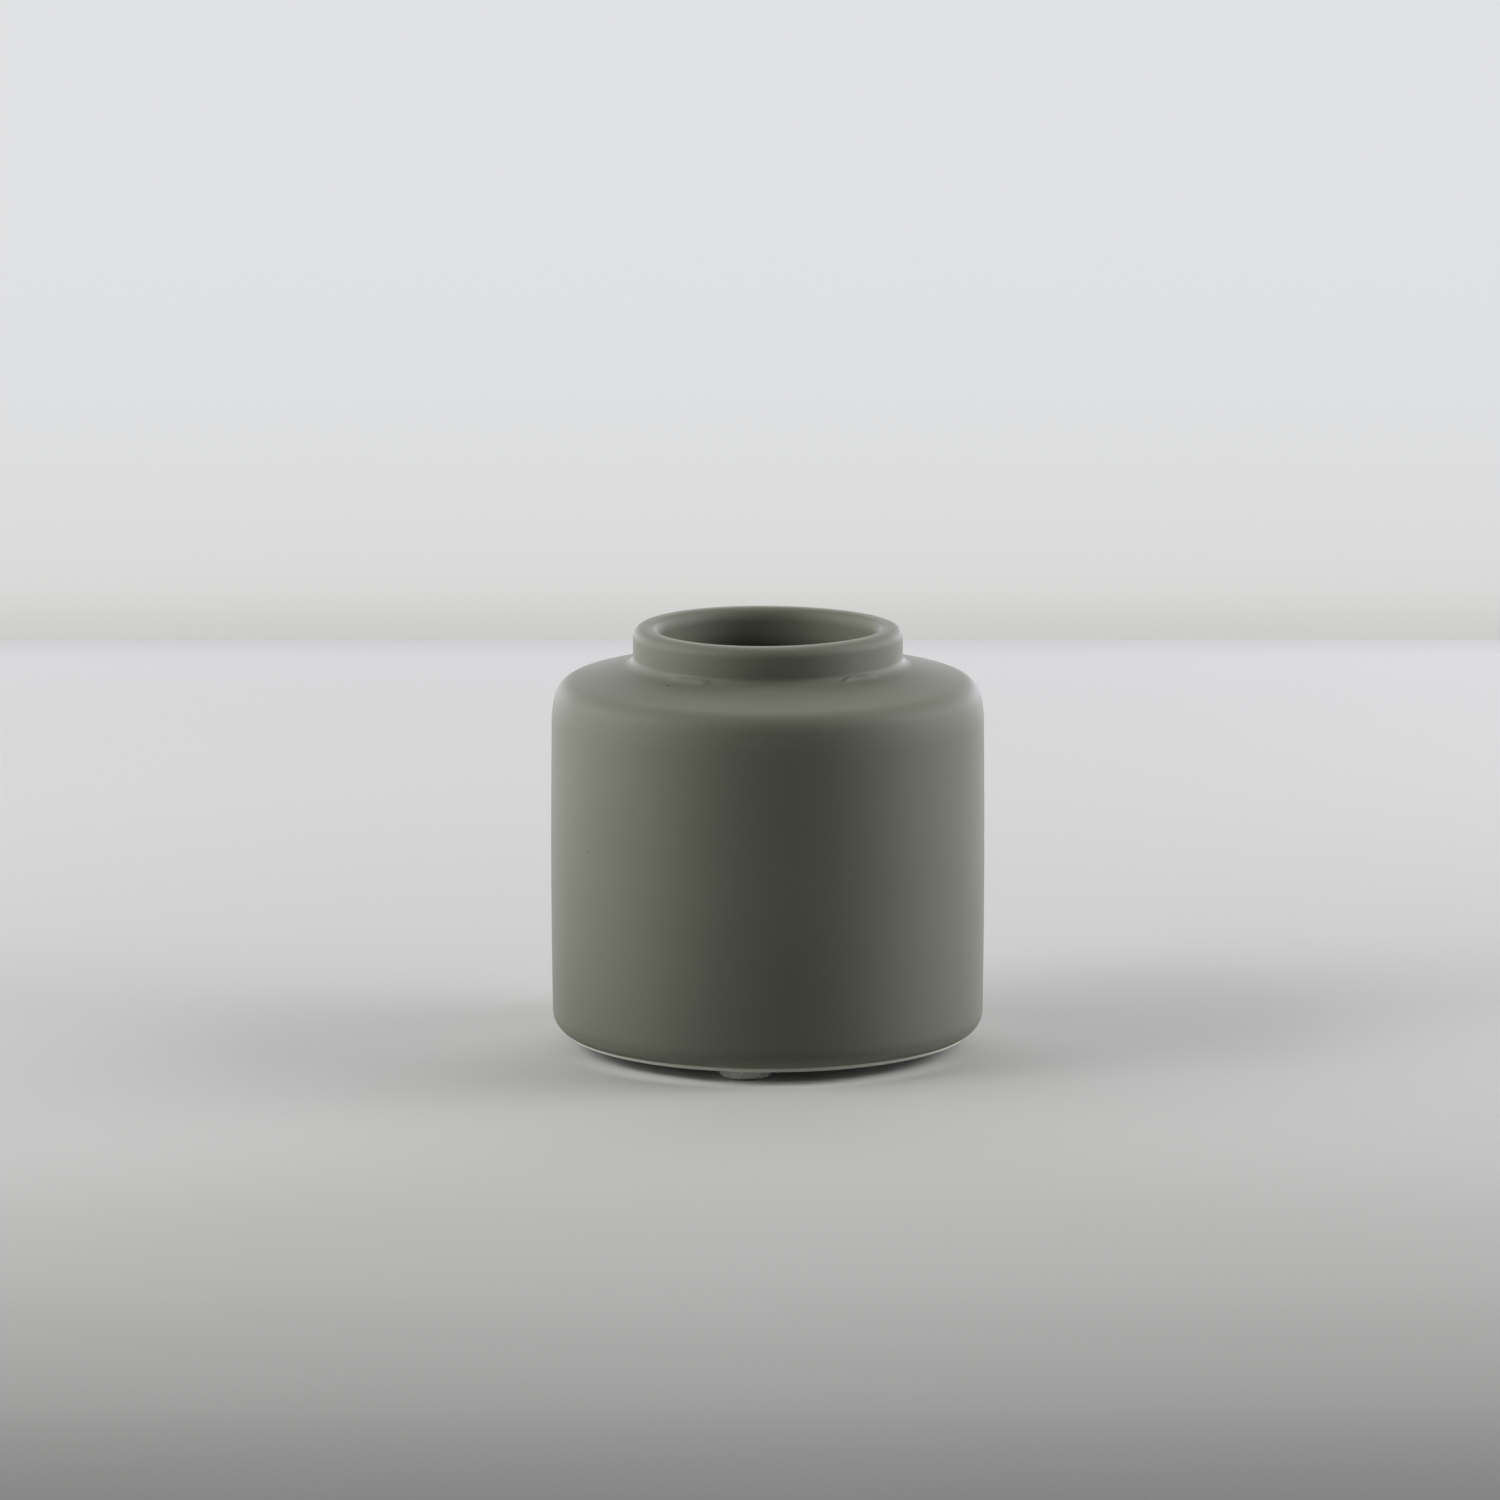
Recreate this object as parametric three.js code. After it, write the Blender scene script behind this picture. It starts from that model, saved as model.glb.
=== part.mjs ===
// A small bud vase: one slip-cast ceramic vessel standing on three stick-on clear bumper pads.
// Millimetres, +Z up. The origin is on the table, under the middle of the vase. The front is -Y.
import * as THREE from "three";

// Driving dimensions of the ceramic vessel, outside
const bodyRadius = 40; // upright wall
const bellySwell = 0.25; // how far the wall stands out halfway up
const vesselHeight = 76.27; // underside of the foot to the top of the lip
const footCorner = 4; // rounding between the foot and the wall
const shoulderSlope = 14.3; // degrees below level, falling outwards
const shoulderEase = 20.4; // slow curve where the wall starts to turn in
const shoulderEaseAngle = 13.5; // degrees that the slow curve turns
const shoulderCorner = 4.5; // tight curve on to the shoulder's slope
const collarRadius = 24.95; // the short neck
const collarHeight = 6.92; // shoulder line to the top of the lip
const collarRoot = 3; // hollow rounding between shoulder and collar
const lipRounding = 1.95; // outer edge of the lip

// Driving dimensions of the ceramic vessel, inside
const lipThickness = 4.75; // collar's outside to the mouth's wall
const mouthFlare = 1.7; // inner edge of the lip, sideways
const mouthFlareDepth = 2.6; // and down into the mouth
const wall = 4.6; // cast thickness of the wall and the shoulder
const floorThickness = 5;
const floorRounding = 6; // where slip gathered at the bottom of the wall
const ceilingRounding = 5.5; // where slip gathered at the top of the wall
const throatRounding = 7; // from the mouth out to the underside of the shoulder

// Driving dimensions of the bumper pads
const padCount = 3;
const padHeight = 2.25;
const padRadius = 4.87;
const padRounding = 0.8; // from the side down to the flat on the table
const padInset = 1.3; // edge of the flat foot to the edge of a pad
const firstPadAngle = -98; // degrees from +X: just left of the front

// Shallow hollow in the middle of the underside
const dishClearance = 6.3; // edge of a pad to the edge of the hollow
const dishDepth = 0.8;

// Facets
const vesselSegments = 64;
const padSegments = 24;

const degrees = Math.PI / 180;
const footLevel = padHeight;
const footEdge = bodyRadius - footCorner;
const lipTop = footLevel + vesselHeight;
const mouthRadius = collarRadius - lipThickness;
const chamberRadius = bodyRadius - wall;
const padCircle = footEdge - padInset - padRadius;

// A shoulder line slopes at shoulderSlope. It is given by its distance from the origin.
const shoulderNormal = new THREE.Vector2(Math.sin(shoulderSlope * degrees), Math.cos(shoulderSlope * degrees));
const outerShoulder = shoulderNormal.dot(new THREE.Vector2(collarRadius, lipTop - collarHeight));
const innerShoulder = outerShoulder - wall;

// Profiles are drawn with x as the distance from the axis and y as the height.
// An arc with another radius upwards is part of an ellipse.
function arc(centreX, centreY, radius, fromAngle, toAngle, steps, radiusUp = radius) {
  return Array.from({ length: steps + 1 }, (_, i) => {
    const angle = (fromAngle + ((toAngle - fromAngle) * i) / steps) * degrees;
    return new THREE.Vector2(centreX + radius * Math.cos(angle), centreY + radiusUp * Math.sin(angle));
  });
}

// Height, at a distance from the axis, of a line that lies beyond a shoulder line by offset.
function shoulderHeight(line, x, offset) {
  return (line + offset - shoulderNormal.x * x) / shoulderNormal.y;
}

// From the upright wall up on to the shoulder's slope, outside: a slow curve, then a tight one.
function shoulderTurn() {
  const turnedIn = shoulderEaseAngle * degrees;
  const reach = shoulderEase - shoulderCorner;
  const cornerX = bodyRadius - shoulderEase + reach * Math.cos(turnedIn);
  const cornerY = shoulderHeight(outerShoulder, cornerX, -shoulderCorner);
  const easeY = cornerY - reach * Math.sin(turnedIn);
  const slow = arc(bodyRadius - shoulderEase, easeY, shoulderEase, 0, shoulderEaseAngle, 3);
  const tight = arc(cornerX, cornerY, shoulderCorner, shoulderEaseAngle, 90 - shoulderSlope, 6);
  return [...slow.slice(0, -1), ...tight];
}

// Between a shoulder line and an upright wall nearer the axis.
function neckTurn(wallRadius, line, rounding) {
  const x = wallRadius + rounding;
  return arc(x, shoulderHeight(line, x, rounding), rounding, -90 - shoulderSlope, -180, 5);
}

// The upright wall between two heights, with its slight swell. Both ends are left out.
function swollenWall(fromY, toY) {
  const steps = 4;
  return Array.from({ length: steps - 1 }, (_, i) => {
    const t = (i + 1) / steps;
    return new THREE.Vector2(bodyRadius + bellySwell * Math.sin(Math.PI * t), fromY + (toY - fromY) * t);
  });
}

// The hollow under the vase, from the axis out to the flat of the foot.
function dish() {
  const edge = padCircle - padRadius - dishClearance;
  const radius = (edge ** 2 + dishDepth ** 2) / (2 * dishDepth);
  const points = arc(0, footLevel + dishDepth - radius, radius, 90, Math.acos(edge / radius) / degrees, 3);
  points[0].x = 0;
  return points;
}

// The whole lip, from the collar's outside over the top and into the mouth.
function lip() {
  const outside = arc(collarRadius - lipRounding, lipTop - lipRounding, lipRounding, 0, 90, 5);
  const insideX = mouthRadius + mouthFlare;
  const inside = arc(insideX, lipTop - mouthFlareDepth, mouthFlare, 90, 180, 5, mouthFlareDepth);
  return [...outside, ...inside];
}

// The vessel's section, from the axis at the underside, round the outside, over the lip,
// and down the inside to the axis again.
function vesselProfile() {
  const foot = arc(footEdge, footLevel + footCorner, footCorner, -90, 0, 6);
  const shoulder = shoulderTurn();
  const innerFloor = footLevel + floorThickness;
  const ceilingX = chamberRadius - ceilingRounding;
  const ceilingY = shoulderHeight(innerShoulder, ceilingX, -ceilingRounding);
  return [
    ...dish(),
    ...foot,
    ...swollenWall(foot.at(-1).y, shoulder[0].y),
    ...shoulder,
    ...neckTurn(collarRadius, outerShoulder, collarRoot),
    ...lip(),
    ...neckTurn(mouthRadius, innerShoulder, throatRounding).reverse(),
    ...arc(ceilingX, ceilingY, ceilingRounding, 90 - shoulderSlope, 0, 5),
    ...arc(chamberRadius - floorRounding, innerFloor + floorRounding, floorRounding, 0, -90, 5),
    new THREE.Vector2(0, innerFloor),
  ];
}

// A pad's section: flat on the table, rounded, then upright to its sticky face on the foot.
function padProfile() {
  return [
    new THREE.Vector2(0, 0),
    ...arc(padRadius - padRounding, padRounding, padRounding, -90, 0, 4),
    new THREE.Vector2(padRadius, footLevel),
    new THREE.Vector2(0, footLevel),
  ];
}

// Turns a profile about the upright axis.
function turned(profile, segments) {
  const geometry = new THREE.LatheGeometry(profile, segments);
  geometry.rotateX(Math.PI / 2);
  return geometry;
}

const glazedCeramic = new THREE.MeshStandardMaterial({ color: 0x767969, roughness: 0.5, metalness: 0 });
const clearRubber = new THREE.MeshStandardMaterial({
  color: 0xdfe2dc,
  roughness: 0.15,
  metalness: 0,
  transparent: true,
  opacity: 0.5,
});

const budVase = new THREE.Group();

const vessel = new THREE.Mesh(turned(vesselProfile(), vesselSegments), glazedCeramic);
vessel.name = "vase_body";
budVase.add(vessel);

for (let i = 0; i < padCount; i += 1) {
  const angle = (firstPadAngle + (360 * i) / padCount) * degrees;
  const pad = new THREE.Mesh(turned(padProfile(), padSegments), clearRubber.clone());
  pad.name = `bumper_pad_${i + 1}`;
  pad.position.set(padCircle * Math.cos(angle), padCircle * Math.sin(angle), 0);
  budVase.add(pad);
}

export default budVase;
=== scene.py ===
# A small bud vase in matte sage-olive glaze, on three clear bumper pads.
# Metres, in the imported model's frame: the table is z = 0 and the front is -Y.
import math

import bmesh
import bpy
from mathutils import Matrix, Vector


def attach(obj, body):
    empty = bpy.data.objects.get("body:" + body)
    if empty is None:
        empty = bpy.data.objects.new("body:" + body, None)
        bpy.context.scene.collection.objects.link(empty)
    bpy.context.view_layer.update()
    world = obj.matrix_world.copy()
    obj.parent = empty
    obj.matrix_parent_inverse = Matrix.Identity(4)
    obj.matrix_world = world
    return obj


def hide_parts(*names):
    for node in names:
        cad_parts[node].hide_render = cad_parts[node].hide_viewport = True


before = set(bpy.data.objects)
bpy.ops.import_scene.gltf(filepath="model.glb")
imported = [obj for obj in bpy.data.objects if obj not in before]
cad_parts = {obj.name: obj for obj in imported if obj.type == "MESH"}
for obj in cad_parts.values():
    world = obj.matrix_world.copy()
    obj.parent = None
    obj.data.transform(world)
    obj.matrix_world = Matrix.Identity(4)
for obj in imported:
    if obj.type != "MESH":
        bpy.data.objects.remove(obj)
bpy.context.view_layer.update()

mm = 0.001
weldDistance = 1e-6     # metres
leastEdge = 1e-7        # shorter edges are dissolved
leastGap = 1e-4         # mm; nearer points of a section are one
noiseSpan = (0.3, 0.7)  # where most of a noise's values lie


# helpers for node trees and meshes

def joinNodes(tree, source, target):
    tree.links.new(source, target)


def addNode(tree, kind, label="", **settings):
    node = tree.nodes.new(kind)
    node.label = label
    for key, value in settings.items():
        setattr(node, key, value)
    return node


def socketOf(sockets, name):
    return next(s for s in sockets if s.name == name and s.enabled)


def feed(tree, target, value):
    # value is another node's output, or a plain number or vector
    if isinstance(value, bpy.types.NodeSocket):
        tree.links.new(value, target)
    else:
        target.default_value = value


def mathNode(tree, operation, *values):
    node = addNode(tree, "ShaderNodeMath", operation=operation)
    for slot, value in zip(node.inputs, values):
        feed(tree, slot, value)
    return node.outputs[0]


def product(tree, first, *others):
    result = first
    for value in others:
        result = mathNode(tree, "MULTIPLY", result, value)
    return result


def rangeNode(tree, value, fromLow, fromHigh, toLow=0.0, toHigh=1.0, smooth=True):
    node = addNode(tree, "ShaderNodeMapRange")
    node.interpolation_type = "SMOOTHSTEP" if smooth else "LINEAR"
    names = ("Value", "From Min", "From Max", "To Min", "To Max")
    for name, amount in zip(names, (value, fromLow, fromHigh, toLow, toHigh)):
        feed(tree, socketOf(node.inputs, name), amount)
    return socketOf(node.outputs, "Result")


def mixColours(tree, share, low, high):
    # a colour is another node's output, or three linear numbers
    node = addNode(tree, "ShaderNodeMix", data_type="RGBA")
    feed(tree, node.inputs[0], share)
    for slot, colour in ((node.inputs[6], low), (node.inputs[7], high)):
        feed(tree, slot, (*colour, 1) if isinstance(colour, tuple) else colour)
    return node.outputs[2]


def noiseOn(tree, coords, scale, detail, label):
    node = addNode(tree, "ShaderNodeTexNoise", label)
    joinNodes(tree, coords, node.inputs["Vector"])
    node.inputs["Scale"].default_value = scale
    node.inputs["Detail"].default_value = detail
    return node.outputs[0]


def newShapeTree(name, sizes):
    # a geometry tree with one named input for each size
    tree = bpy.data.node_groups.new(name, "GeometryNodeTree")
    tree.interface.new_socket(name="Geometry", in_out="OUTPUT", socket_type="NodeSocketGeometry")
    tree.interface.new_socket(name="Geometry", in_out="INPUT", socket_type="NodeSocketGeometry")
    for sizeName, value in sizes.items():
        kind = "NodeSocketInt" if isinstance(value, int) else "NodeSocketFloat"
        tree.interface.new_socket(name=sizeName, in_out="INPUT", socket_type=kind)
    return tree, tree.nodes.new("NodeGroupInput"), tree.nodes.new("NodeGroupOutput")


def endShapeTree(tree, geometry, material, out):
    realized = addNode(tree, "GeometryNodeRealizeInstances")
    painted = addNode(tree, "GeometryNodeSetMaterial")
    painted.inputs["Material"].default_value = material
    joinNodes(tree, geometry, realized.inputs["Geometry"])
    joinNodes(tree, realized.outputs["Geometry"], painted.inputs["Geometry"])
    joinNodes(tree, painted.outputs["Geometry"], out.inputs["Geometry"])


def shapeFromTree(name, baseMesh, tree, sizes, material):
    # sets the tree's inputs by identifier, evaluates it once and keeps a plain mesh
    maker = bpy.data.objects.new(name + "Maker", baseMesh)
    bpy.context.scene.collection.objects.link(maker)
    modifier = maker.modifiers.new("shape", "NODES")
    modifier.node_group = tree
    for item in tree.interface.items_tree:
        if item.in_out == "INPUT" and item.name in sizes:
            modifier[item.identifier] = sizes[item.name]
    bpy.context.view_layer.update()
    evaluated = maker.evaluated_get(bpy.context.evaluated_depsgraph_get())
    mesh = bpy.data.meshes.new_from_object(evaluated)
    maker.modifiers.remove(modifier)
    bpy.data.objects.remove(maker)
    mesh.name = name
    faceOutwards(mesh)
    mesh.materials.clear()
    mesh.materials.append(material)
    piece = bpy.data.objects.new(name, mesh)
    bpy.context.scene.collection.objects.link(piece)
    return piece


def faceOutwards(mesh):
    work = bmesh.new()
    work.from_mesh(mesh)
    bmesh.ops.dissolve_degenerate(work, edges=work.edges, dist=leastEdge)
    bmesh.ops.recalc_face_normals(work, faces=work.faces)
    if work.calc_volume(signed=True) < 0:
        bmesh.ops.reverse_faces(work, faces=work.faces)
    for face in work.faces:
        face.smooth = True
    work.to_mesh(mesh)
    work.free()
    mesh.update()


def arcPoints(centre, radius, fromAngle, toAngle, step, radiusUp=None):
    # x is the distance from the axis and y the height, in mm; with radiusUp it is part of an ellipse
    radiusUp = radiusUp or radius
    turn = math.radians(toAngle - fromAngle)
    count = max(2, math.ceil(abs(turn) * max(radius, radiusUp) / step))
    start = math.radians(fromAngle)
    angles = [start + turn * i / count for i in range(count + 1)]
    return [(centre[0] + radius * math.cos(a), centre[1] + radiusUp * math.sin(a)) for a in angles]


def straightPoints(start, end, step):
    # from start to end, both left out
    count = max(1, math.ceil(math.dist(start, end) / step))
    shares = [i / count for i in range(1, count)]
    return [(start[0] + (end[0] - start[0]) * t, start[1] + (end[1] - start[1]) * t) for t in shares]


def turnedGrid(tree, profile, segments):
    # a sheet with the profile's points up it and the segments across, to be bent round the axis:
    # the sheet, and at each point its angle, its distance from the axis and its height
    count = addNode(tree, "GeometryNodeAttributeDomainSize", component="MESH")
    joinNodes(tree, profile, count.inputs["Geometry"])
    grid = addNode(tree, "GeometryNodeMeshGrid", "rows and columns")
    joinNodes(tree, mathNode(tree, "ADD", segments, 1), grid.inputs["Vertices X"])
    joinNodes(tree, count.outputs["Point Count"], grid.inputs["Vertices Y"])
    across = addNode(tree, "ShaderNodeSeparateXYZ")
    joinNodes(tree, grid.outputs["UV Map"], across.inputs[0])
    last = mathNode(tree, "SUBTRACT", count.outputs["Point Count"], 1)
    row = mathNode(tree, "ROUND", product(tree, across.outputs["Y"], last))
    angle = product(tree, across.outputs["X"], math.tau)
    place = addNode(tree, "GeometryNodeInputPosition")
    sample = addNode(tree, "GeometryNodeSampleIndex", data_type="FLOAT_VECTOR", domain="POINT")
    joinNodes(tree, profile, sample.inputs["Geometry"])
    joinNodes(tree, place.outputs[0], socketOf(sample.inputs, "Value"))
    joinNodes(tree, row, sample.inputs["Index"])
    section = addNode(tree, "ShaderNodeSeparateXYZ")
    joinNodes(tree, socketOf(sample.outputs, "Value"), section.inputs[0])
    return grid.outputs["Mesh"], angle, section.outputs["X"], section.outputs["Z"]


def spotAt(tree, angle, radius, height):
    spot = addNode(tree, "ShaderNodeCombineXYZ")
    joinNodes(tree, product(tree, radius, mathNode(tree, "COSINE", angle)), spot.inputs[0])
    joinNodes(tree, product(tree, radius, mathNode(tree, "SINE", angle)), spot.inputs[1])
    joinNodes(tree, height, spot.inputs[2])
    return spot.outputs[0]


def bentRound(tree, sheet, spots):
    # moves the sheet's points to their spots and closes its seam and its poles
    shaped = addNode(tree, "GeometryNodeSetPosition")
    joinNodes(tree, sheet, shaped.inputs["Geometry"])
    joinNodes(tree, spots, shaped.inputs["Position"])
    welded = addNode(tree, "GeometryNodeMergeByDistance")
    joinNodes(tree, shaped.outputs["Geometry"], welded.inputs["Geometry"])
    welded.inputs["Distance"].default_value = weldDistance
    return welded.outputs["Geometry"]


def profileMesh(name, points):
    # a chain of edges in the XZ plane, in metres
    mesh = bpy.data.meshes.new(name)
    edges = [(i, i + 1) for i in range(len(points) - 1)]
    mesh.from_pydata([(x * mm, 0.0, y * mm) for x, y in points], edges, [])
    return mesh


# camera, from the photograph's viewing angle

cameraPlace = {
    "distance": 1.6,      # in front of the vase's axis
    "height": 0.34835,
    "sideways": -0.0033,  # the vase stands a little right of the middle
    "downTilt": 10.385,   # degrees
    "lens": 210.8,        # mm
    "sensor": 36,         # its width, mm
    "clip": (0.05, 50),   # nothing nearer or farther shows
}


def placeCamera():
    data = bpy.data.cameras.new("camera")
    data.sensor_width = cameraPlace["sensor"]
    data.lens = cameraPlace["lens"]
    data.clip_start, data.clip_end = cameraPlace["clip"]
    camera = bpy.data.objects.new("camera", data)
    bpy.context.scene.collection.objects.link(camera)
    camera.location = (cameraPlace["sideways"], -cameraPlace["distance"], cameraPlace["height"])
    camera.rotation_euler = (math.radians(90 - cameraPlace["downTilt"]), 0, 0)
    bpy.context.scene.camera = camera
    print("camera placed")


# table, background and lamps

studio = {
    "tableBack": 0.445,              # where the table ends behind the vase
    "tableFront": -2.4,
    "tableHalfWidth": 2.0,
    "bounceShares": (0.5, 0.9),      # of the light that it should give back, in front and aside
    "bounceAside": (0.03, 0.12),     # metres from the middle, from in front to aside
    "bounceAhead": (-0.02, 0.04),    # between these y it comes to give back all
    "paintedLightOutside": (0.0335, 0.036),  # painted light: a narrow lighter band on the table round the foot, thinning its shadow, begins at these radii
    "paintedLightInside": (0.0425, 0.0375),  # and ends at these
    "paintedLightInFront": (-0.01, -0.042),  # the painted light starts at the first y and is full at the second
    "paintedLightGain": 0.62,                   # the painted light raises the table's tone by so much of it
    "tableBlue": 0.975,              # blue, as a share of the table's red and green
    "backdropFrom": 0.1,             # the room is dark on the camera's side of this direction in y
    "backdropTo": 0.7,               # and as pale as the backdrop from this one on
    "backgroundLight": 1.25,         # as light on the vase, against what the eye sees
    "lampAim": (0, 0, 0.04),         # the middle of the vase
}
tableTonesWithShade = {
    # y in metres, from the camera's side to the back: grey, with painted shade: darker towards the
    # camera, where the light falls off, and just behind the vase, where its side shadows reach
    -1.2: 0.6, -0.6: 0.45, -0.36: 0.24, -0.32: 0.245, -0.27: 0.33,
    -0.2: 0.415, -0.13: 0.475, -0.06: 0.535, 0.0: 0.56, 0.04: 0.52,
    0.1: 0.55, 0.24: 0.59, 0.38: 0.6, 0.425: 0.6, 0.445: 0.545,
}
backdropTonesWithShade = {
    # height of the line of sight, from just above the table's far edge upwards: colour, darker just above
    # that edge as painted shade where the backdrop meets the table
    -0.168: (0.61, 0.605, 0.595),
    -0.1646: (0.65, 0.645, 0.635),
    -0.1623: (0.69, 0.685, 0.68),
    -0.1578: (0.71, 0.71, 0.71),
    -0.141: (0.735, 0.74, 0.75),
    -0.118: (0.75, 0.755, 0.765),
}
softboxes = {
    # place, size in metres, power in watts
    "leftWindow": ((-0.96, 0.08, 0.67), (0.85, 0.75), 4.3),
    "rightWindow": ((0.96, 0.08, 0.67), (0.85, 0.75), 6.5),
    "leftSideLamp": ((-0.99, 0.14, 0.46), (0.35, 0.3), 1.55),
    "rightSideLamp": ((0.99, 0.14, 0.46), (0.35, 0.3), 2.8),
    "leftLowLamp": ((-1.09, 0.1, 0.13), (0.45, 0.22), 0.9),
    "rightLowLamp": ((1.09, 0.1, 0.13), (0.45, 0.22), 1.7),
    "leftUpperFront": ((-0.79, -0.29, 0.71), (0.4, 0.35), 2.75),
    "leftFrontLamp": ((-0.95, -0.5, 0.45), (0.75, 0.4), 1.7),
    "leftBackLow": ((-0.55, 0.95, 0.14), (0.6, 0.22), 2.1),
    "rightBackLow": ((0.55, 0.95, 0.14), (0.6, 0.22), 3.2),
    "backStrip": ((0, 1.25, 0.22), (2.2, 0.42), 4.8),
    "backHigh": ((0, 0.8, 0.9), (1.2, 0.4), 0.9),
}
coolLamps = {
    # behind and low, where the light is a little cooler
    "names": ("leftLowLamp", "rightLowLamp", "leftBackLow", "rightBackLow", "backStrip"),
    "colour": (1.0, 0.94, 1.16),
}
reflectorCards = {
    # a white card lying on the table, out of view
    "leftCard": ((-0.28, 0, 0.004), (0.3, 0.3), 0.3),
}


def seenDirectly(tree):
    # 1 for rays from the camera, or through something clear
    ray = addNode(tree, "ShaderNodeLightPath")
    return mathNode(tree, "MAXIMUM", ray.outputs["Is Camera Ray"], ray.outputs["Is Transmission Ray"])


def toneRamp(tree, place, tones):
    # a colour for each place, with smooth steps between them
    low, high = min(tones), max(tones)
    ramp = addNode(tree, "ShaderNodeValToRGB")
    ramp.color_ramp.interpolation = "CARDINAL"
    stops = ramp.color_ramp.elements
    while len(stops) < len(tones):
        stops.new(0.5)
    for stop, (at, colour) in zip(stops, sorted(tones.items())):
        stop.position = (at - low) / (high - low)
        stop.color = (*colour, 1)
    joinNodes(tree, rangeNode(tree, place, low, high, smooth=False), ramp.inputs[0])
    return ramp.outputs[0]


def tableMaterial():
    material = bpy.data.materials.new("paleTable")
    material.use_nodes = True
    tree = material.node_tree
    tree.nodes.clear()
    out = addNode(tree, "ShaderNodeOutputMaterial")
    coords = addNode(tree, "ShaderNodeTexCoord")
    split = addNode(tree, "ShaderNodeSeparateXYZ")
    joinNodes(tree, coords.outputs["Object"], split.inputs[0])
    # the table looks paler than the light that it gives back to the vase
    aside = mathNode(tree, "ABSOLUTE", split.outputs["X"])
    inFront = rangeNode(tree, aside, *studio["bounceAside"], *studio["bounceShares"])
    bounce = rangeNode(tree, split.outputs["Y"], *studio["bounceAhead"], inFront, 1.0)
    # painted light: a band round the foot, lighter in front, thins the vase's contact shadow on the table
    outwards = addNode(tree, "ShaderNodeVectorMath", operation="LENGTH")
    joinNodes(tree, coords.outputs["Object"], outwards.inputs[0])
    outer = rangeNode(tree, outwards.outputs["Value"], *studio["paintedLightInside"])
    inner = rangeNode(tree, outwards.outputs["Value"], *studio["paintedLightOutside"])
    paintedLightByFoot = product(tree, outer, inner, rangeNode(tree, split.outputs["Y"], *studio["paintedLightInFront"]))
    given = mathNode(tree, "MAXIMUM", mathNode(tree, "MAXIMUM", bounce, paintedLightByFoot), seenDirectly(tree))
    paintedLightGain = mathNode(tree, "ADD", product(tree, paintedLightByFoot, studio["paintedLightGain"]), 1.0)
    shown = addNode(tree, "ShaderNodeVectorMath", operation="SCALE")
    # painted shade: these greys darken towards the camera and just behind the vase
    greys = {y: (tone, tone, tone * studio["tableBlue"]) for y, tone in tableTonesWithShade.items()}
    joinNodes(tree, toneRamp(tree, split.outputs["Y"], greys), shown.inputs[0])
    feed(tree, shown.inputs["Scale"], product(tree, given, paintedLightGain))
    cloth = addNode(tree, "ShaderNodeBsdfDiffuse")
    joinNodes(tree, shown.outputs[0], cloth.inputs["Color"])
    clear = addNode(tree, "ShaderNodeBsdfTransparent")
    side = addNode(tree, "ShaderNodeNewGeometry")
    either = addNode(tree, "ShaderNodeMixShader")
    joinNodes(tree, side.outputs["Backfacing"], either.inputs[0])  # see-through from below
    joinNodes(tree, cloth.outputs[0], either.inputs[1])
    joinNodes(tree, clear.outputs[0], either.inputs[2])
    joinNodes(tree, either.outputs[0], out.inputs["Surface"])
    return material


def makeTable():
    w, near, far = studio["tableHalfWidth"], studio["tableFront"], studio["tableBack"]
    mesh = bpy.data.meshes.new("table")
    mesh.from_pydata([(-w, near, 0), (w, near, 0), (w, far, 0), (-w, far, 0)], [], [(0, 1, 2, 3)])
    mesh.materials.append(tableMaterial())
    table = bpy.data.objects.new("table", mesh)
    bpy.context.scene.collection.objects.link(table)


def makeWorld():
    # a pale backdrop behind the vase, and a dark room on the camera's side
    world = bpy.data.worlds.new("studioRoom")
    bpy.context.scene.world = world
    world.use_nodes = True
    tree = world.node_tree
    tree.nodes.clear()
    out = addNode(tree, "ShaderNodeOutputWorld")
    coords = addNode(tree, "ShaderNodeTexCoord")
    split = addNode(tree, "ShaderNodeSeparateXYZ")
    joinNodes(tree, coords.outputs["Generated"], split.inputs[0])
    behind = rangeNode(tree, split.outputs["Y"], studio["backdropFrom"], studio["backdropTo"])
    room = product(tree, behind, studio["backgroundLight"])
    ray = addNode(tree, "ShaderNodeLightPath")
    mirrored = product(tree, ray.outputs["Is Glossy Ray"], behind)
    visible = mathNode(tree, "MAXIMUM", seenDirectly(tree), mirrored)
    strength = addNode(tree, "ShaderNodeMix", data_type="FLOAT")
    feed(tree, strength.inputs[0], visible)
    feed(tree, strength.inputs[2], room)
    strength.inputs[3].default_value = 1.0
    background = addNode(tree, "ShaderNodeBackground")
    # the backdrop's colour, with painted shade just above the table's edge
    joinNodes(tree, toneRamp(tree, split.outputs["Z"], backdropTonesWithShade), background.inputs["Color"])
    joinNodes(tree, strength.outputs[0], background.inputs["Strength"])
    joinNodes(tree, background.outputs[0], out.inputs["Surface"])


def addLamp(name, place, size, power, aim):
    data = bpy.data.lights.new(name, "AREA")
    data.shape = "RECTANGLE"
    data.size, data.size_y = size
    data.energy = power
    if name in coolLamps["names"]:
        data.color = coolLamps["colour"]
    lamp = bpy.data.objects.new(name, data)
    bpy.context.scene.collection.objects.link(lamp)
    lamp.location = place
    lamp.rotation_euler = (Vector(aim) - Vector(place)).to_track_quat("-Z", "Y").to_euler()
    lamp.visible_camera = False


def makeStudio():
    makeTable()
    makeWorld()
    for name, (place, size, power) in softboxes.items():
        addLamp(name, place, size, power, studio["lampAim"])
    for name, (place, size, power) in reflectorCards.items():
        addLamp(name, place, size, power, (place[0], place[1], 1))
    bpy.context.scene.view_settings.view_transform = "Standard"
    print("table, room and lamps made")


# the vessel, turned from its section

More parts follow.
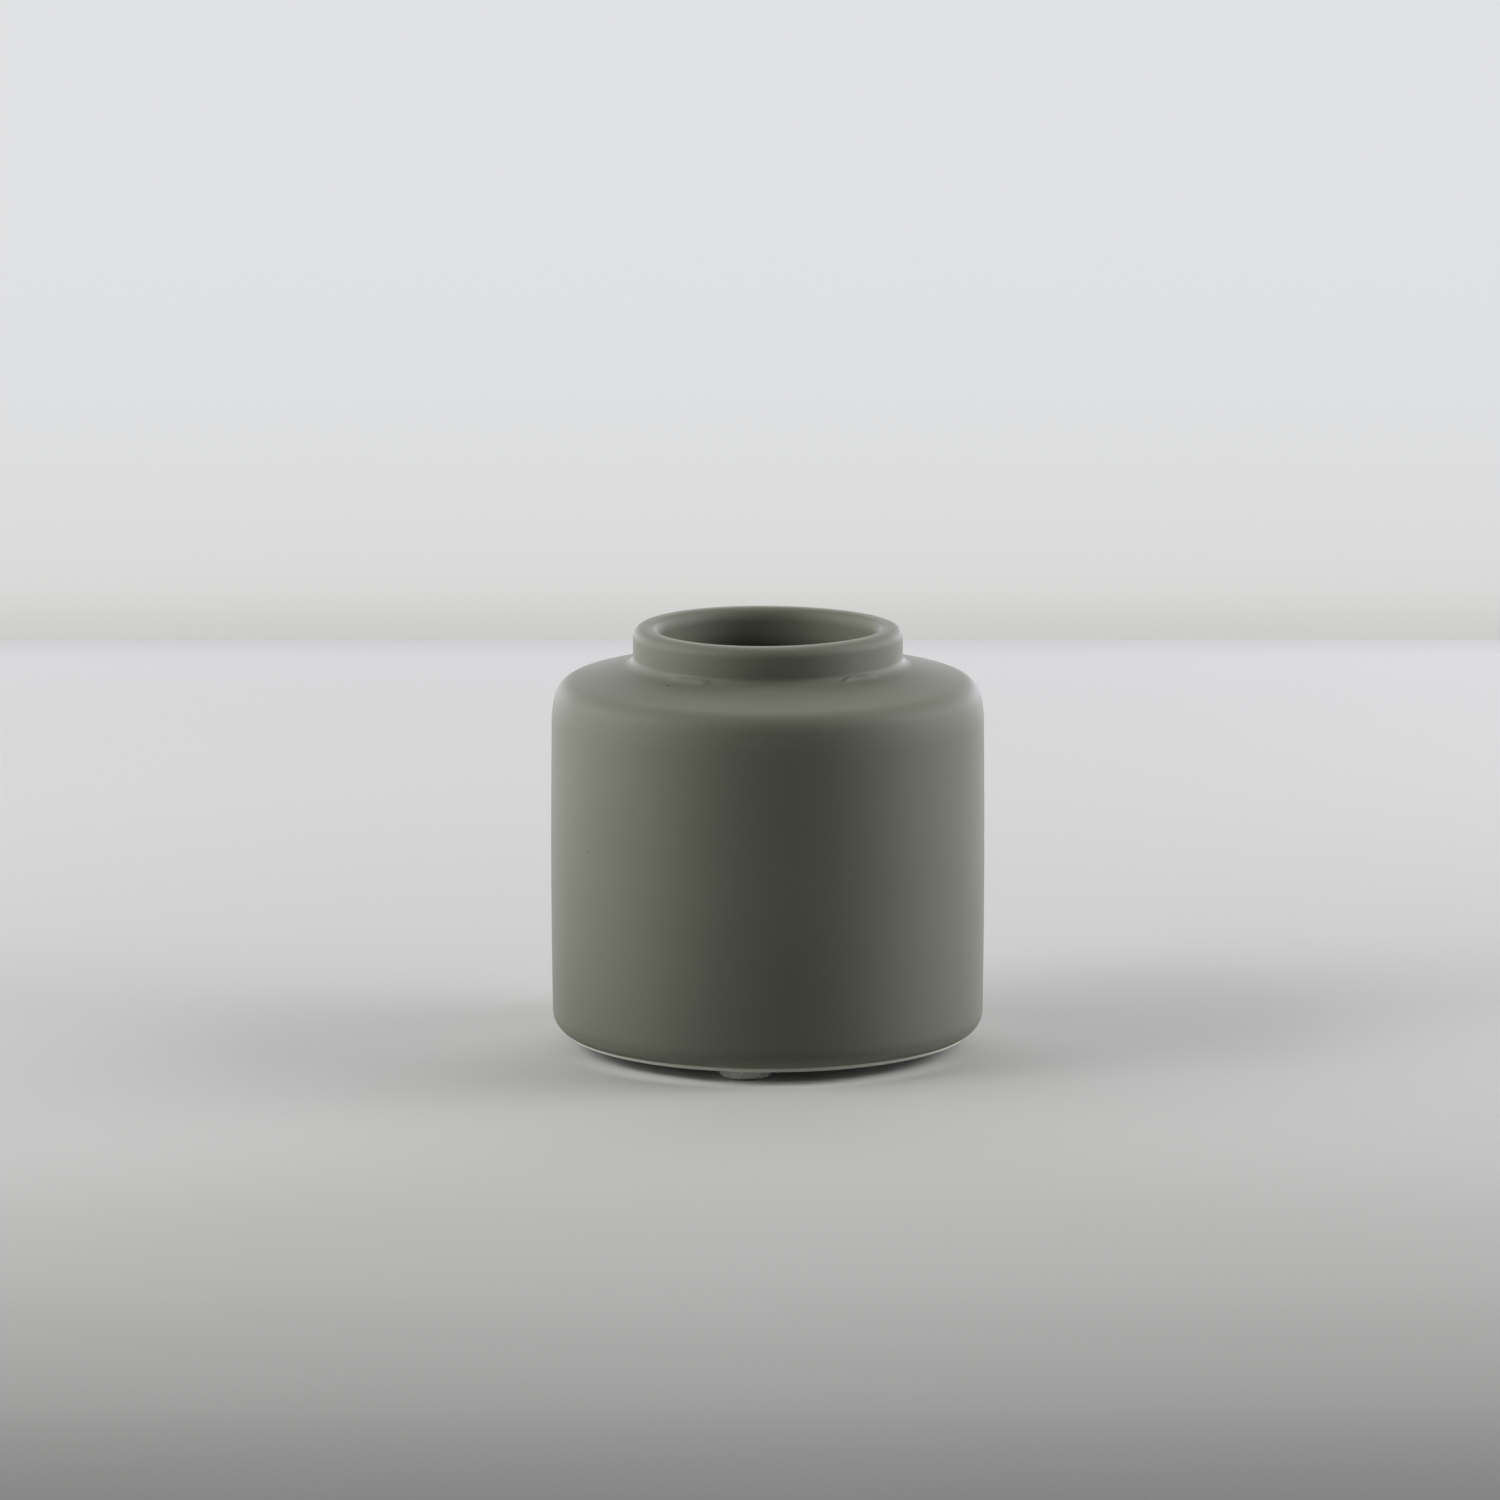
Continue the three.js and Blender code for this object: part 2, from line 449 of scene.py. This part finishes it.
vaseShape = {
    "foot": 2.25,             # height of the underside, mm, as all sizes here
    "bodyRadius": 40.0,
    "swell": 0.2,
    "lipTop": 78.4,
    "footCorner": 4.0,
    "footCornerHeight": 6.45, # middle of that rounding
    "glazeEnd": 3.12,         # height of the glaze's lower edge
    # bare clay: up from the underside, a low upright ring, and in under the glaze
    "clayBelow": ((37.27, 2.29), (37.47, 2.41), (37.55, 2.55)),
    "clayAbove": ((37.55, 3.06), (37.75, 3.09)),
    "clayStep": 0.1,
    "footFlat": 34.9,         # the underside is flat inside this radius
    "rootStep": 0.17,         # along the collar root, where the glaze has small beads
    "shoulderSlope": 14.3,    # degrees
    "easeRadius": 20.4,
    "easeAngle": 13.5,        # degrees
    "shoulderCorner": 4.5,
    "collarRadius": 24.95,
    "collarHeight": 6.8,      # shoulder line to the top of the lip
    "collarRoot": (3.3, 2.0),     # outwards and up
    "lipRounding": 1.95,      # outer edge of the lip
    "mouthFlare": 1.7,        # inner edge of the lip, sideways
    "mouthFlareDepth": 2.6,   # and down into the mouth
    "lipThickness": 4.75,
    "wall": 4.6,
    "floorThickness": 5.0,
    "floorRounding": 6.0,
    "ceilingRounding": 5.5,
    "throatRounding": 7.0,
    "dishRadius": 18.5,
    "dishDepth": 0.8,
    "step": 1.1,              # along straight stretches
    "fineStep": 0.45,         # along roundings
    "lipStep": 0.3,
    "mouthStep": 0.225,
    "insideStep": 2.2,        # in the chamber
}


def shoulderHeight(line, x, offset):
    slope = math.radians(vaseShape["shoulderSlope"])
    return (line + offset - math.sin(slope) * x) / math.cos(slope)


def neckTurn(radius, line, across, up, step):
    # from the shoulder's line to the neck's, a quarter of an ellipse and a little less
    lean = math.atan(across / up * math.tan(math.radians(vaseShape["shoulderSlope"])))
    x = radius + across
    height = shoulderHeight(line, x - across * math.sin(lean), 0) + up * math.cos(lean)
    return arcPoints((x, height), across, -90 - math.degrees(lean), -180, step, up)


def outsideShoulder(line):
    s = vaseShape
    turned = math.radians(s["easeAngle"])
    reach = s["easeRadius"] - s["shoulderCorner"]
    cornerX = s["bodyRadius"] - s["easeRadius"] + reach * math.cos(turned)
    cornerY = shoulderHeight(line, cornerX, -s["shoulderCorner"])
    easeCentre = (s["bodyRadius"] - s["easeRadius"], cornerY - reach * math.sin(turned))
    slow = arcPoints(easeCentre, s["easeRadius"], 0, s["easeAngle"], s["fineStep"])
    steep = 90 - s["shoulderSlope"]
    tight = arcPoints((cornerX, cornerY), s["shoulderCorner"], s["easeAngle"], steep, s["fineStep"])
    return slow[:-1] + tight


def swellOut(points):
    # the wall stands out slightly halfway up
    s = vaseShape
    low, high = points[0][1], points[-1][1]
    return [(x + s["swell"] * math.sin(math.pi * (y - low) / (high - low)), y) for x, y in points]


def vesselSection():
    s = vaseShape
    slope = math.radians(s["shoulderSlope"])
    outer = math.sin(slope) * s["collarRadius"] + math.cos(slope) * (s["lipTop"] - s["collarHeight"])
    inner = outer - s["wall"]
    mouth = s["collarRadius"] - s["lipThickness"]
    chamber = s["bodyRadius"] - s["wall"]
    corner = (s["bodyRadius"] - s["footCorner"], s["footCornerHeight"])
    step, inside = s["step"], s["insideStep"]
    bulge = (s["dishRadius"] ** 2 + s["dishDepth"] ** 2) / (2 * s["dishDepth"])
    dishEdge = math.degrees(math.acos(s["dishRadius"] / bulge))
    dish = arcPoints((0, s["foot"] + s["dishDepth"] - bulge), bulge, 90, dishEdge, step)
    dish[0] = (0.0, dish[0][1])
    glazeTurn = math.degrees(math.asin((corner[1] - s["glazeEnd"]) / s["footCorner"]))
    footTurn = arcPoints(corner, s["footCorner"], -glazeTurn, 0, s["fineStep"])
    below, above = s["clayBelow"], s["clayAbove"]
    clayBand = [*below, *straightPoints(below[-1], above[0], s["clayStep"]), *above]
    underside = [(s["footFlat"], s["foot"])]
    shoulder = outsideShoulder(outer)
    wall = [footTurn[-1], *straightPoints(footTurn[-1], shoulder[0], step), shoulder[0]]
    root = neckTurn(s["collarRadius"], outer, *s["collarRoot"], s["rootStep"])
    outR, flare, flareDepth = s["lipRounding"], s["mouthFlare"], s["mouthFlareDepth"]
    lipOut = arcPoints((s["collarRadius"] - outR, s["lipTop"] - outR), outR, 0, 90, s["lipStep"])
    lipMiddle = (mouth + flare, s["lipTop"] - flareDepth)
    lipIn = arcPoints(lipMiddle, flare, 90, 180, s["mouthStep"], flareDepth)
    throat = neckTurn(mouth, inner, s["throatRounding"], s["throatRounding"], step)[::-1]
    ceilingX = chamber - s["ceilingRounding"]
    ceiling = arcPoints(
        (ceilingX, shoulderHeight(inner, ceilingX, -s["ceilingRounding"])),
        s["ceilingRounding"], 90 - s["shoulderSlope"], 0, inside)
    floorY = s["foot"] + s["floorThickness"]
    floorTurn = arcPoints(
        (chamber - s["floorRounding"], floorY + s["floorRounding"]), s["floorRounding"], 0, -90, inside)
    stretches = [dish, underside, clayBand, footTurn[:-1], swellOut(wall)[:-1], shoulder, root,
                 lipOut, lipIn, throat, ceiling, floorTurn, [(0.0, floorY)]]
    points = list(stretches[0])
    for stretch in stretches[1:]:
        points += straightPoints(points[-1], stretch[0], step) + stretch
    return [p for i, p in enumerate(points) if i == 0 or math.dist(p, points[i - 1]) > leastGap]


turning = {
    "Segments": 288,
    "Unevenness": 0.09 * mm,     # casting and glaze, in and out together
    "Unevenness Scale": 38.0,
    "Unevenness Roughness": 0.4,
    "Even Middle": 10 * mm,      # within this distance it fades towards the axis
    "Lip Warp": 0.105 * mm,      # the rim dried slightly out of true
    "Lip Warp Turn": math.radians(145),
    "Warp From": 66 * mm,        # heights between which the warp grows
    "Warp To": 78 * mm,
    "Warp Outside": 36 * mm,     # and distances from the axis, because only the collar has it
    "Warp Inside": 30 * mm,
    "Beads Outside": 24.5 * mm,  # the glaze beads are on the outside, past this distance
    "Beads Whole": 24.7 * mm,
}
glazeBeads = [
    # glaze that gathered along the collar root: its turn in degrees, its height at the ends and in the
    # middle, its width and how far it stands out, in mm; the last is the share of its half turn,
    # squared, from which it thins out
    {"turn": (302, 321), "ends": 71.65, "middle": 72.3, "width": 0.24, "stands": 0.22, "thins": 0.45},
    {"turn": (226, 246), "ends": 71.85, "middle": 71.95, "width": 0.5, "stands": 0.18, "thins": 0.45},
]


def beadRise(tree, angle, height, bead):
    start, end = (math.radians(turn) for turn in bead["turn"])
    middle, half = (start + end) / 2, (end - start) / 2
    share = mathNode(tree, "DIVIDE", mathNode(tree, "SUBTRACT", angle, middle), half)
    away = product(tree, share, share)
    sag = (bead["ends"] - bead["middle"]) * mm
    line = mathNode(tree, "ADD", product(tree, away, sag), bead["middle"] * mm)
    offLine = mathNode(tree, "DIVIDE", mathNode(tree, "SUBTRACT", height, line), bead["width"] * mm)
    crown = mathNode(tree, "EXPONENT", product(tree, offLine, offLine, -1.0))
    fade = rangeNode(tree, away, 1.0, bead["thins"])
    return product(tree, crown, fade, bead["stands"] * mm)


def turningTree(material):
    tree, given, out = newShapeTree("turnedVessel", turning)
    size = given.outputs
    sheet, angle, radius, height = turnedGrid(tree, size["Geometry"], size["Segments"])
    # slow unevenness, read at the point's true place so that it closes round the vase
    drift = addNode(tree, "ShaderNodeTexNoise", "unevenness")
    joinNodes(tree, spotAt(tree, angle, radius, height), drift.inputs["Vector"])
    joinNodes(tree, size["Unevenness Scale"], drift.inputs["Scale"])
    joinNodes(tree, size["Unevenness Roughness"], drift.inputs["Roughness"])
    centred = mathNode(tree, "SUBTRACT", drift.outputs[0], 0.5)
    offAxis = rangeNode(tree, radius, 0.0, size["Even Middle"])
    even = mathNode(tree, "ADD", radius, product(tree, centred, size["Unevenness"], offAxis))
    rises = [beadRise(tree, angle, height, bead) for bead in glazeBeads]
    onRoot = rangeNode(tree, radius, size["Beads Outside"], size["Beads Whole"])
    beads = product(tree, mathNode(tree, "ADD", *rises), onRoot)
    fromWarp = mathNode(tree, "SUBTRACT", angle, size["Lip Warp Turn"])
    saddle = product(tree, mathNode(tree, "COSINE", product(tree, fromWarp, 2.0)), size["Lip Warp"])
    nearLip = rangeNode(tree, height, size["Warp From"], size["Warp To"])
    onCollar = rangeNode(tree, radius, size["Warp Outside"], size["Warp Inside"])
    raised = mathNode(tree, "ADD", product(tree, saddle, nearLip, onCollar), beads)
    spots = spotAt(tree, angle, mathNode(tree, "ADD", even, beads), mathNode(tree, "ADD", height, raised))
    endShapeTree(tree, bentRound(tree, sheet, spots), material, out)
    return tree


glaze = {
    # colours are linear
    "sage": (0.176, 0.186, 0.139),
    "sageDeep": (0.158, 0.168, 0.124),
    # bare clay: its own pale colour, made paler still as painted light on the shaded foot ring
    "clay": (0.84, 0.85, 0.74),
    "sagePaintedLight": (0.248, 0.262, 0.2),     # painted light: paler glaze towards the foot, lightening its shaded rounding
    "paintedLightBelow": 6.2 * mm,
    "paintedLightMost": 3.5 * mm,
    "glazeLine": 3.1 * mm,               # bare clay below this height
    "lineBlur": 0.03 * mm,
    "lineWander": 0.06 * mm,
    "cloudScale": 45,                    # slow change of tone
    "cloudDetail": 5,
    "cloudShare": 0.6,
    "mottleScale": 1400,                 # fine mottle
    "mottleDetail": 3,
    "mottleSpan": (0.35, 0.65),
    "mottleShare": 0.4,
    "roughness": 0.62,
    "clayRoughness": 0.85,
    "roughnessSwing": 0.03,
    "grainDepth": 0.02 * mm,
    "grainStrength": 0.25,
    # small pits on the front, painted as dark spots of shade: place and radius, mm
    "pinholes": [((-18.36, -20.89, 70.87), 0.36), ((-32.84, -23.15, 40.40), 0.2)],
    "pinholeBlur": 0.25,                 # as a share of the radius
    "pinholeShadeTone": (0.05, 0.048, 0.04),
}


def withPinholes(tree, coords, colour):
    blur = glaze["pinholeBlur"]
    for place, radius in glaze["pinholes"]:
        away = addNode(tree, "ShaderNodeVectorMath", operation="DISTANCE")
        joinNodes(tree, coords, away.inputs[0])
        away.inputs[1].default_value = [length * mm for length in place]
        edge = radius * mm
        # painted shade: each pit is a dark spot of colour, with no hollow in the surface
        inside = rangeNode(tree, away.outputs["Value"], edge * (1 + blur), edge * (1 - blur))
        colour = mixColours(tree, inside, colour, glaze["pinholeShadeTone"])
    return colour


def glazeMaterial():
    material = bpy.data.materials.new("sageGlaze")
    material.use_nodes = True
    tree = material.node_tree
    shader = tree.nodes["Principled BSDF"]
    coords = addNode(tree, "ShaderNodeTexCoord").outputs["Object"]
    split = addNode(tree, "ShaderNodeSeparateXYZ")
    joinNodes(tree, coords, split.inputs[0])
    cloudy = noiseOn(tree, coords, glaze["cloudScale"], glaze["cloudDetail"], "slow change of tone")
    speck = noiseOn(tree, coords, glaze["mottleScale"], glaze["mottleDetail"], "fine mottle")
    slow = rangeNode(tree, cloudy, *noiseSpan, 0, glaze["cloudShare"])
    fine = rangeNode(tree, speck, *glaze["mottleSpan"], 0, glaze["mottleShare"])
    coat = mixColours(tree, mathNode(tree, "ADD", slow, fine), glaze["sageDeep"], glaze["sage"])
    # painted light: the glaze gets paler towards the foot, where its rounding lies in shade
    paintedFootLight = rangeNode(tree, split.outputs["Z"], glaze["paintedLightBelow"], glaze["paintedLightMost"])
    coat = withPinholes(tree, coords, mixColours(tree, paintedFootLight, coat, glaze["sagePaintedLight"]))
    wander = product(tree, mathNode(tree, "SUBTRACT", cloudy, 0.5), glaze["lineWander"])
    height = mathNode(tree, "ADD", split.outputs["Z"], wander)
    line, blur = glaze["glazeLine"], glaze["lineBlur"]
    glazed = rangeNode(tree, height, line - blur, line + blur)
    joinNodes(tree, mixColours(tree, glazed, glaze["clay"], coat), shader.inputs["Base Color"])
    rough = rangeNode(tree, glazed, 0, 1, glaze["clayRoughness"], glaze["roughness"])
    swing = rangeNode(tree, speck, *noiseSpan, -glaze["roughnessSwing"], glaze["roughnessSwing"])
    joinNodes(tree, mathNode(tree, "ADD", rough, swing), shader.inputs["Roughness"])
    bump = addNode(tree, "ShaderNodeBump")
    bump.inputs["Strength"].default_value = glaze["grainStrength"]
    bump.inputs["Distance"].default_value = glaze["grainDepth"]
    joinNodes(tree, speck, bump.inputs["Height"])
    joinNodes(tree, bump.outputs[0], shader.inputs["Normal"])
    return material


def makeVessel():
    material = glazeMaterial()
    section = profileMesh("vesselSection", vesselSection())
    vessel = shapeFromTree("vaseVessel", section, turningTree(material), turning, material)
    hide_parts("vase_body")
    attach(vessel, "root")
    print("vessel turned,", len(vessel.data.polygons), "faces")


# the clear bumper pads

padShape = {
    "radius": 4.87,       # mm
    "height": 2.25,
    "rounding": 0.8,
    "step": 0.3,          # up its side
    "fineStep": 0.12,     # along its rounding
}
padRing = {
    "Pads": 3,
    "Ring Radius": 29.83 * mm,
    "First Turn": math.radians(-98),
    "Pad Segments": 64,
}
# partly painted light: the clear pads get a pale, mostly opaque colour standing in for light they carry
# through; the haze varies at random
padFinish = {
    "dim": (0.86, 0.86, 0.82),
    "bright": (0.94, 0.94, 0.91),
    "hazeScale": 500,
    "hazeDetail": 2,
    "transmission": 0.12,
    "refraction": 1.48,
    "roughness": (0.15, 0.3),
}


def padSection():
    p = padShape
    middle = (p["radius"] - p["rounding"], p["rounding"])
    curve = arcPoints(middle, p["rounding"], -90, 0, p["fineStep"])
    top = (p["radius"], p["height"])
    return [(0.0, 0.0), *curve, *straightPoints(curve[-1], top, p["step"]), top, (0.0, p["height"])]


def padRingTree(material):
    tree, given, out = newShapeTree("ringOfPads", padRing)
    size = given.outputs
    sheet, angle, radius, height = turnedGrid(tree, size["Geometry"], size["Pad Segments"])
    pad = bentRound(tree, sheet, spotAt(tree, angle, radius, height))
    ring = addNode(tree, "GeometryNodeMeshCircle")
    joinNodes(tree, size["Pads"], ring.inputs["Vertices"])
    joinNodes(tree, size["Ring Radius"], ring.inputs["Radius"])
    turnIt = addNode(tree, "GeometryNodeTransform")
    joinNodes(tree, ring.outputs["Mesh"], turnIt.inputs["Geometry"])
    turnBy = addNode(tree, "ShaderNodeCombineXYZ")
    joinNodes(tree, size["First Turn"], turnBy.inputs[2])
    joinNodes(tree, turnBy.outputs[0], turnIt.inputs["Rotation"])
    stuck = addNode(tree, "GeometryNodeInstanceOnPoints")
    joinNodes(tree, turnIt.outputs["Geometry"], stuck.inputs["Points"])
    joinNodes(tree, pad, stuck.inputs["Instance"])
    endShapeTree(tree, stuck.outputs["Instances"], material, out)
    return tree


def clearPadMaterial():
    material = bpy.data.materials.new("clearPolyurethane")
    material.use_nodes = True
    tree = material.node_tree
    shader = tree.nodes["Principled BSDF"]
    shader.inputs["Transmission Weight"].default_value = padFinish["transmission"]
    shader.inputs["IOR"].default_value = padFinish["refraction"]
    coords = addNode(tree, "ShaderNodeTexCoord").outputs["Object"]
    haze = noiseOn(tree, coords, padFinish["hazeScale"], padFinish["hazeDetail"], "haze")
    rough = rangeNode(tree, haze, *noiseSpan, *padFinish["roughness"])
    colour = mixColours(tree, haze, padFinish["dim"], padFinish["bright"])
    joinNodes(tree, rough, shader.inputs["Roughness"])
    joinNodes(tree, colour, shader.inputs["Base Color"])
    return material


def makePads():
    material = clearPadMaterial()
    section = profileMesh("padSection", padSection())
    pads = shapeFromTree("bumperPads", section, padRingTree(material), padRing, material)
    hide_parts("bumper_pad_1", "bumper_pad_2", "bumper_pad_3")
    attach(pads, "root")
    print("bumper pads made,", len(pads.data.polygons), "faces")


placeCamera()
makeStudio()
makeVessel()
makePads()
